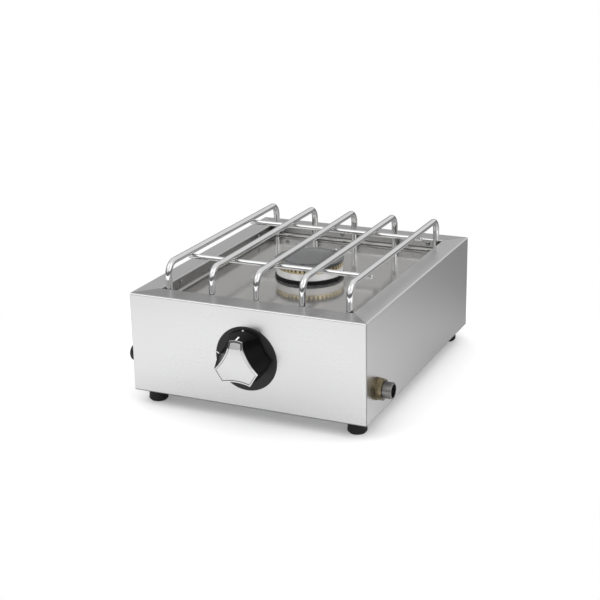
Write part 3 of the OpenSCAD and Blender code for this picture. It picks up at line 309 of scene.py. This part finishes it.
def paintRoom():
    world = bpy.data.worlds.new("room")
    bpy.context.scene.world = world
    world.use_nodes = True
    world.cycles.sampling_method = "NONE"
    sky = Board(world.node_tree, "Generated")
    low, high = room["rear"]
    rear = low + (high - low) * sky.ease(sky.x * room["rearTilt"] + sky.z, *room["rearRise"])
    rear = room["dark"] + (rear - room["dark"]) * sky.ease(sky.z, *room["rearFoot"])
    front = room["dark"] + (room["front"] - room["dark"]) * sky.ease(sky.z, *room["frontRise"])
    right, forward = room["gapWay"]
    gap = sky.ease(sky.x * right - sky.y * forward, *room["gap"])
    band = sky.ease(sky.z, *room["lightFoot"]) * (1 - sky.ease(sky.z, *room["lightTop"]))
    front = front + (room["softLight"] + sky.x * room["lean"] - front) * (band * (1 - gap))
    level = rear + (front - rear) * sky.ease(0.0 - sky.y, *room["turnToFront"])
    level = level + (room["zenith"] - level) * sky.ease(sky.z, *room["zenithRise"])
    level = room["dull"] + sky.ray("Glossy") * (level - room["dull"])
    clear = sky.ray("Camera") + sky.ray("Transmission")
    tint = sky.grey(level + clear * (1.0 - level))
    sky.tree.links.new(tint.socket, sky.tree.nodes["Background"].inputs["Color"])


lamps = {
    "key": {"spot": (-0.9, -1.2, 1.9), "size": 1.5, "power": 5.0},
    "fill": {"spot": (1.3, -0.4, 1.7), "size": 1.3, "power": 3.0},
}
lampAim = (0, 0, 0.1)   # both point here


def hangLamp(name, spot, size, power):
    data = bpy.data.lights.new(name, "AREA")
    data.shape = "DISK"
    data.size = size
    data.energy = power
    lamp = bpy.data.objects.new(name, data)
    bpy.context.scene.collection.objects.link(lamp)
    lamp.location = spot
    lamp.rotation_euler = (Vector(spot) - Vector(lampAim)).to_track_quat("Z", "Y").to_euler()


layTable()
paintRoom()
for lampName, lampLook in lamps.items():
    hangLamp(lampName + " lamp", **lampLook)
print("burner: table, room and lamps set")


caseMiddle = (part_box("left_panel")[0].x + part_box("right_panel")[1].x) / 2
rimBottom, rimTop = (corner.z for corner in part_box("front_panel"))
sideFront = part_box("right_panel")[0].y
flangeToPan = 0.0018   # metres from the face of a folded flange back to the outside of the pan
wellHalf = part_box("drip_pan")[1].x - caseMiddle - flangeToPan

brushed = {
    "metallic": 1.0,
    "spread": 0.035,
    "tint": {"lines": 0.4, "bands": 0.35, "smudge": 0.25},
    "rougher": {"lines": 0.04, "smudge": 0.08},
    "relief": {"lines": 0.7, "bands": 0.3}, "depth": 0.000014, "strength": 0.3,
}
frontSheet = {
    **brushed, "colour": (0.51, 0.51, 0.513), "roughness": 0.22,
    "layers": {"lines": ((5, 2400, 2400), 3), "bands": ((1.5, 160, 160), 2), "smudge": (11, 3)},
}
sideSheet = {
    **brushed, "colour": (0.585, 0.585, 0.588), "roughness": 0.27,
    "layers": {"lines": ((2400, 5, 2400), 3), "bands": ((160, 1.5, 160), 2), "smudge": (11, 3)},
}
# each edge of the sheet, where highlight and shade are painted into the colour: the metres past it
# over which the colour changes, the share and colour
sheetEdges = {
    # painted highlight along the bend at the top edge
    "crestHighlight": {
        "start": (-0.0022, -0.0016), "end": (-0.0009, -0.0004), "share": 0.8,
        "colour": (0.82, 0.82, 0.82)},
    # painted shade along the bend at the bottom edge
    "sill": {"end": (0.001, 0.0022), "share": 0.9, "colour": (0.06, 0.06, 0.06)},
    # a dark line along the front corner of the side sheets: the seam, with the shade of the corner
    # painted in
    "seam": {"end": (0.0008, 0.0018), "share": 0.7, "colour": (0.16, 0.16, 0.16)},
    # painted shade on the inner flanges round the well, down from the top
    "flange": {"side": (0.0002, 0.0012), "foot": (-0.02, -0.015)},
    # painted shade on the front half of the top rim
    "frontRimShade": {"start": (-0.0012, -0.0004), "depth": (-0.05, 0.05), "share": 0.4},
    "paintedShade": (0.24, 0.238, 0.234),   # the colour of the painted shade on the inner flanges and on the front rim
}


def brushedSteel(name, look, side):
    steel = Finish(name, look)
    crestHighlight, sill, seam, flange, frontRimShade, paintedShade = (
        sheetEdges[k] for k in ("crestHighlight", "sill", "seam", "flange", "frontRimShade", "paintedShade"))
    # painted highlight: the bend just under the top edge is lighter
    mask = steel.past(steel.z, rimTop, crestHighlight["start"])
    mask = mask * (1 - steel.past(steel.z, rimTop, crestHighlight["end"]))
    sheet = steel.blend(mask * crestHighlight["share"], steel.tone, crestHighlight["colour"])
    # painted shade: the bottom bend is nearly black
    mask = 1 - steel.past(steel.z, rimBottom, sill["end"])
    sheet = steel.blend(mask * sill["share"], sheet, sill["colour"])
    if side:
        # the seam at the front corner, darkened with painted shade
        mask = 1 - steel.past(steel.y, sideFront, seam["end"])
        sheet = steel.blend(mask * seam["share"], sheet, seam["colour"])
        # painted shade on the inner flanges of the side sheets
        mask = 1 - steel.past(abs(steel.x - caseMiddle), wellHalf, flange["side"])
        mask = mask * steel.past(steel.z, rimTop, flange["foot"])
    else:
        # painted shade on the front half of the rim
        mask = steel.past(steel.z, rimTop, frontRimShade["start"])
        mask = mask * (1 - steel.ease(steel.y, *frontRimShade["depth"])) * frontRimShade["share"]
    # the flanges and the front rim take the colour of the painted shade
    steel.set("Base Color", steel.blend(mask, sheet, paintedShade))
    return steel


brushedSteel("front sheet", frontSheet, False).on("front_panel", "rear_panel")
brushedSteel("side sheet", sideSheet, True).on("left_panel", "right_panel")


galvanised = {
    "colour": (0.60, 0.61, 0.62), "roughness": 0.3, "metallic": 1.0,
    "layers": {"flakes": (130,), "cloud": (40, 3)},
    "tint": {"flakes": 0.6, "cloud": 0.4}, "spread": 0.14,
    "rougher": {"flakes": 0.18, "cloud": 0.1},
    "relief": {"flakes": 1}, "depth": 0.00004, "strength": 0.4,
}
Finish("galvanised sheet", galvanised).on(
    "corner_gussets", "base_plate", "burner_bracket", "tap_strap")


pan = {
    "colour": (0.545, 0.538, 0.526), "roughness": 0.06, "metallic": 0.86,
    "layers": {"smudge": (16, 4, 0.6), "rolled": ((900, 6, 900), 2), "wiped": ((60, 25, 60), 3)},
    "tint": {"smudge": 0.6, "rolled": 0.4}, "spread": 0.03,
    "rougher": {"smudge": 0.07, "wiped": 0.03},
    "relief": {"rolled": 0.5, "wiped": 0.5}, "depth": 0.00002, "strength": 0.3,
    "wall": (0.23, 0.228, 0.222),     # the drawn wall, painted darker than the floor as the shade inside the pan
    "wallStart": (0.0012, 0.0024),    # metres above the underside of the floor
}


def panSteel():
    steel = Finish("bright pan", pan)
    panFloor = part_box("drip_pan")[0].z
    # painted shade: the wall is darker from just above the floor up
    wall = steel.past(steel.z, panFloor, pan["wallStart"])
    steel.set("Base Color", steel.blend(wall, steel.tone, pan["wall"]))
    return steel


panSteel().on("drip_pan")


chrome = {
    "colour": (0.68, 0.68, 0.685), "roughness": 0.04, "metallic": 1.0,
    "tint": {"lines": 0.5, "smudge": 0.5}, "spread": 0.04,
    "rougher": {"smudge": 0.05, "lines": 0.02},
    "relief": {"lines": 0.5, "smudge": 0.5}, "depth": 0.00002, "strength": 0.3,
}
barChrome = {**chrome, "layers": {"lines": ((1500, 7, 1500), 2), "smudge": (35, 3)}}
rodChrome = {**chrome, "layers": {"lines": ((7, 1500, 1500), 2), "smudge": (35, 3)}}
Finish("grate bar chrome", barChrome).on(*("grate_bar_%d" % k for k in range(1, 6)))
Finish("cross rod chrome", rodChrome).on("grate_cross_rod_front", "grate_cross_rod_rear")


turned = {
    "tint": {"rings": 0.5, "smudge": 0.5},
    "rougher": {"rings": 0.06, "smudge": 0.08},
    "relief": {"rings": 1}, "strength": 0.5,
}
cup = {
    **turned, "colour": (0.97, 0.97, 0.965), "roughness": 0.36, "metallic": 0.52,
    "layers": {"rings": (1400,), "smudge": (45, 3)}, "spread": 0.06, "depth": 0.00001,
    "fixed": {"Anisotropic": 1.0, "Anisotropic Rotation": 0.25},
}
Finish("turned cup", cup).on("burner_cup", "mixing_tube", "supply_tube")

crown = {
    **turned, "colour": (0.84, 0.73, 0.48), "roughness": 0.18, "metallic": 1.0,
    "layers": {"rings": (1100,), "smudge": (45, 3)}, "depth": 0.00003,
    "tint": {"smudge": 1}, "patches": (0.45, 0.7), "patchShare": 0.5, "deep": (0.66, 0.52, 0.30),
    "foot": (0.42, 0.33, 0.19), "footEnd": (0.137, 0.141), "footShare": 0.3,
}


def castBrass():
    brass = Finish("crown brass", crown)
    foot = (1 - brass.ease(brass.z, *crown["footEnd"])) * crown["footShare"]
    brass.set("Base Color", brass.blend(foot, brass.tone, crown["foot"]))
    return brass


castBrass().on("burner_crown")


enamel = {
    "colour": (0.06, 0.062, 0.065), "roughness": 0.16,
    "layers": {"peel": (420, 2), "cloud": (30, 3)},
    "tint": {"cloud": 1}, "spread": 0.12,
    "rougher": {"cloud": 0.08},
    "relief": {"peel": 1}, "depth": 0.00004, "strength": 0.25,
    "fixed": {"Coat Weight": 0.5, "Coat Roughness": 0.08},
}
Finish("cap enamel", enamel).on("burner_cap")


castIron = {
    "colour": (0.009, 0.009, 0.0095), "roughness": 0.34,
    "layers": {"grain": (1500, 3, 0.6), "cloud": (60, 3)},
    "tint": {"grain": 0.5, "cloud": 0.5}, "spread": 0.3,
    "rougher": {"cloud": 0.16},
    "relief": {"grain": 1}, "depth": 0.00008, "strength": 0.4,
    "fixed": {"Specular IOR Level": 0.12},
}
Finish("ring black", castIron).on("burner_base_ring")


slots = {}
for part in frame["record"]["subparts"]:
    slots.setdefault(part["material_slot"], []).append(part["node"])


def wear(slotName, finish):   # the pieces of a slot that have no finish yet
    finish.on(*(name for name in slots[slotName] if name not in dressed))


plated = {
    "metallic": 1.0, "spread": 0.08,
    "layers": {"haze": (90, 3), "pits": (1300, 2)},
    "tint": {"haze": 0.7, "pits": 0.3},
    "rougher": {"haze": 0.1},
    "relief": {"pits": 1}, "depth": 0.00003, "strength": 0.35,
}
tarnished = {
    "metallic": 1.0,
    "layers": {"haze": ((70, 70, 110), 3), "fine": (900, 2)},
    "tint": {"haze": 1}, "patches": (0.35, 0.7), "patchShare": 1,
    "rougher": {"haze": 0.12},
    "relief": {"fine": 1}, "depth": 0.00003, "strength": 0.3,
}
cutBrass = {
    "colour": (0.76, 0.60, 0.30), "roughness": 0.16, "metallic": 1.0,
    "layers": {"dull": (60, 3), "lines": (700, 2)},
    "tint": {"dull": 0.7, "lines": 0.3}, "spread": 0.1,
    "rougher": {"dull": 0.14},
    "relief": {"lines": 1}, "depth": 0.00002, "strength": 0.3,
}
metals = {
    "plated_steel": ("plated steel", {**plated, "colour": (0.66, 0.67, 0.68), "roughness": 0.21}),
    "screw_steel": ("screw steel", {**plated, "colour": (0.26, 0.262, 0.268), "roughness": 0.25}),
    "probe_steel": ("probe steel", {
        **plated, "colour": (0.64, 0.62, 0.60), "roughness": 0.25, "spread": 0.14}),
    "knob_chrome": ("knob chrome", {
        **plated, "colour": (0.47, 0.47, 0.475), "roughness": 0.05, "spread": 0.03}),
    "yellow_zinc": ("yellow zinc", {
        **tarnished, "colour": (0.23, 0.19, 0.115), "deep": (0.07, 0.058, 0.04),
        "roughness": 0.28}),
    "dark_pipe": ("dark pipe", {
        **tarnished, "colour": (0.19, 0.185, 0.18), "deep": (0.11, 0.105, 0.105),
        "roughness": 0.28}),
    "copper_lead": ("copper tube", {
        **tarnished, "colour": (0.80, 0.47, 0.33), "deep": (0.62, 0.33, 0.20),
        "roughness": 0.2}),
    "brass": ("cut brass", cutBrass),
}
for slotName, (finishName, look) in metals.items():
    wear(slotName, Finish(finishName, look))


silver = {
    **plated, "colour": (0.50, 0.50, 0.505), "roughness": 0.25, "spread": 0.03,
    "relief": {}, "dome": -2500, "domeDepth": 0.001,   # the flat face is shaded as slightly domed
}


def domedFace():
    face = Finish("knob silver", silver)
    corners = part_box("knob_face")
    middle = (corners[0] + corners[1]) / 2
    u = face.x - middle.x
    v = face.z - middle.z
    face.bump((u * u + v * v) * silver["dome"], silver["domeDepth"], 1.0)
    return face


wear("knob_silver", domedFace())


def moulded(colour, roughness, grain, depth, fixed):
    return {
        "colour": colour, "roughness": roughness, "fixed": fixed,
        "layers": {"cloud": (50, 3), "grain": (grain, 2)},
        "tint": {"cloud": 0.6, "grain": 0.4}, "spread": 0.12,
        "rougher": {"cloud": 0.08},
        "relief": {"grain": 1}, "depth": depth, "strength": 0.35,
    }


# the name, then colour, lowest roughness, scale and depth of the grain, and what is fixed
plastics = {
    "black_plastic": (
        "disc black", (0.01, 0.01, 0.0105), 0.38, 2200, 0.00003, {"Specular IOR Level": 0.27}),
    "foot_rubber": (
        "foot rubber", (0.006, 0.006, 0.0065), 0.56, 900, 0.0001, {"Specular IOR Level": 0.25}),
    "silicone_lead": ("lead sleeve", (0.20, 0.035, 0.028), 0.46, 900, 0.00003, {}),
    "ceramic": (
        "glazed ceramic", (0.80, 0.78, 0.72), 0.14, 500, 0.00002, {"Coat Weight": 0.5}),
}
for slotName, (finishName, *look) in plastics.items():
    wear(slotName, Finish(finishName, moulded(*look)))


grip = {
    "look": moulded((0.003, 0.003, 0.0033), 0.12, 500, 0.00001, {"Specular IOR Level": 0.07}),
    "paintedSeatLight": (0.32, 0.32, 0.32),      # the flat front that the silver face sits on, painted grey as light in the shaded groove round the face
    "seatEnd": (0.0001, 0.0003),     # metres behind it
}


def gripPlastic():
    plastic = Finish("grip black", grip["look"])
    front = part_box("knob_grip")[0].y
    # painted light: the groove round the silver face is lifted from black to grey
    paintedSeatLight = 1 - plastic.past(plastic.y, front, grip["seatEnd"])
    plastic.set("Base Color", plastic.blend(paintedSeatLight, plastic.tone, grip["paintedSeatLight"]))
    return plastic


wear("grip_gloss", gripPlastic())
print("burner: finishes set, bare pieces:", [name for name in nodes if name not in dressed])


softEdges = {
    "sharpFrom": 35,   # degrees between two faces past which their edge is rounded
    "sheet": (0.0005, ("front_panel", "rear_panel", "left_panel", "right_panel")),
    "knob": (0.0003, ("knob_grip", "knob_rim")),
}


def softenEdges(width, names):
    for name in names:
        bevel = nodes[name].modifiers.new("soft edge", "BEVEL")
        bevel.width = width
        bevel.segments = 2
        bevel.limit_method = "ANGLE"
        bevel.angle_limit = math.radians(softEdges["sharpFrom"])


for group in ("sheet", "knob"):
    softenEdges(*softEdges[group])
print("burner: edges softened")


marks = {
    "axis": (0.0008, 0.0785),     # x and z of the middle of the knob
    "thick": 0.00012,
    "edge": 0.3,                  # how much of the thickness is rounded off
    "corner": 0.2,                # how much of a bar's width is rounded off at its corners
    "paint": moulded((0.80, 0.80, 0.79), 0.36, 1500, 0.00002, {}),
}
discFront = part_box("knob_disc")[0].y
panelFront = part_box("front_panel")[0].y
paint = Finish("mark paint", marks["paint"]).material


def startMark(add, **shape):
    bpy.ops.object.select_all(action="DESELECT")
    add(**shape)
    bpy.ops.object.mode_set(mode="EDIT")
    bpy.ops.mesh.select_all(action="SELECT")


def finishMark(name, body, place, turn):
    mark = bpy.context.active_object
    mark.name = name
    bpy.ops.object.mode_set(mode="OBJECT")   # the outline is stored before it is thickened
    bpy.ops.object.mode_set(mode="EDIT")
    bpy.ops.mesh.select_all(action="SELECT")
    bpy.ops.mesh.extrude_region_move(TRANSFORM_OT_translate={"value": (0, 0, marks["thick"])})
    bpy.ops.mesh.select_all(action="SELECT")
    bpy.ops.mesh.normals_make_consistent(inside=False)
    bpy.ops.object.mode_set(mode="OBJECT")
    bevel = mark.modifiers.new("edge", "BEVEL")
    bevel.width = marks["thick"] * marks["edge"]
    bevel.segments = 2
    bpy.ops.object.modifier_apply(modifier="edge")
    mark.rotation_euler = turn
    mark.location = place
    bpy.ops.object.transform_apply(location=True, rotation=True, scale=True)
    mark.data.materials.append(paint)
    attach(mark, body)


def printOnDisc(name, shape, turn=0.0):
    x, z = marks["axis"]
    place = (x + shape["across"], discFront, z + shape["up"])
    finishMark(name, "casing", place, (math.pi / 2, math.radians(turn), 0))


def addDisc(shape):
    startMark(
        bpy.ops.mesh.primitive_circle_add, vertices=shape["sides"], radius=shape["radius"],
        fill_type="NGON")


def addBar(across, along, wide):
    startMark(bpy.ops.mesh.primitive_plane_add, size=1)
    bpy.ops.transform.resize(value=(across, along, 1))
    bpy.ops.mesh.bevel(offset=wide * marks["corner"], segments=3, affect="VERTICES")


offDot = {"across": -0.0028, "up": 0.0340, "radius": 0.0013, "sides": 32}


def printDot():
    addDisc(offDot)
    printOnDisc("off_dot", offDot)


flameRing = {
    "across": -0.0030, "up": 0.0297, "radius": 0.0015, "line": 0.0006, "stretch": 1.3,
    "sides": 32,
}


def printRing():
    addDisc(flameRing)
    bpy.ops.mesh.inset(thickness=flameRing["line"])
    bpy.ops.mesh.delete(type="FACE")
    bpy.ops.mesh.select_all(action="SELECT")
    bpy.ops.transform.resize(value=(1, flameRing["stretch"], 1))
    printOnDisc("flame_ring", flameRing)


fullDash = {"across": -0.0362, "up": 0.0032, "long": 0.0034, "wide": 0.0013, "turn": 36}


def printDash():
    addBar(fullDash["long"], fullDash["wide"], fullDash["wide"])
    printOnDisc("full_dash", fullDash, fullDash["turn"])


pointer = {
    "near": 0.0168, "far": 0.0243,    # its ends, in front of the panel
    "wide": 0.0022,
    "sunk": 0.3,                      # how much of its thickness lies in the grip
    "reach": 0.03480, "lift": 0.0048, "slope": 0.2025,   # where the top of the grip runs
}


def printPointer():
    middle = (pointer["near"] + pointer["far"]) / 2
    high = pointer["reach"] - (middle - pointer["lift"]) * pointer["slope"]
    addBar(pointer["wide"], pointer["far"] - pointer["near"], pointer["wide"])
    x, z = marks["axis"]
    place = (x, panelFront - middle, z + high - marks["thick"] * pointer["sunk"])
    finishMark("pointer", "knob", place, (math.atan(pointer["slope"]), 0, 0))


for printMark in (printDot, printRing, printDash, printPointer):
    printMark()
print("burner: marks made")
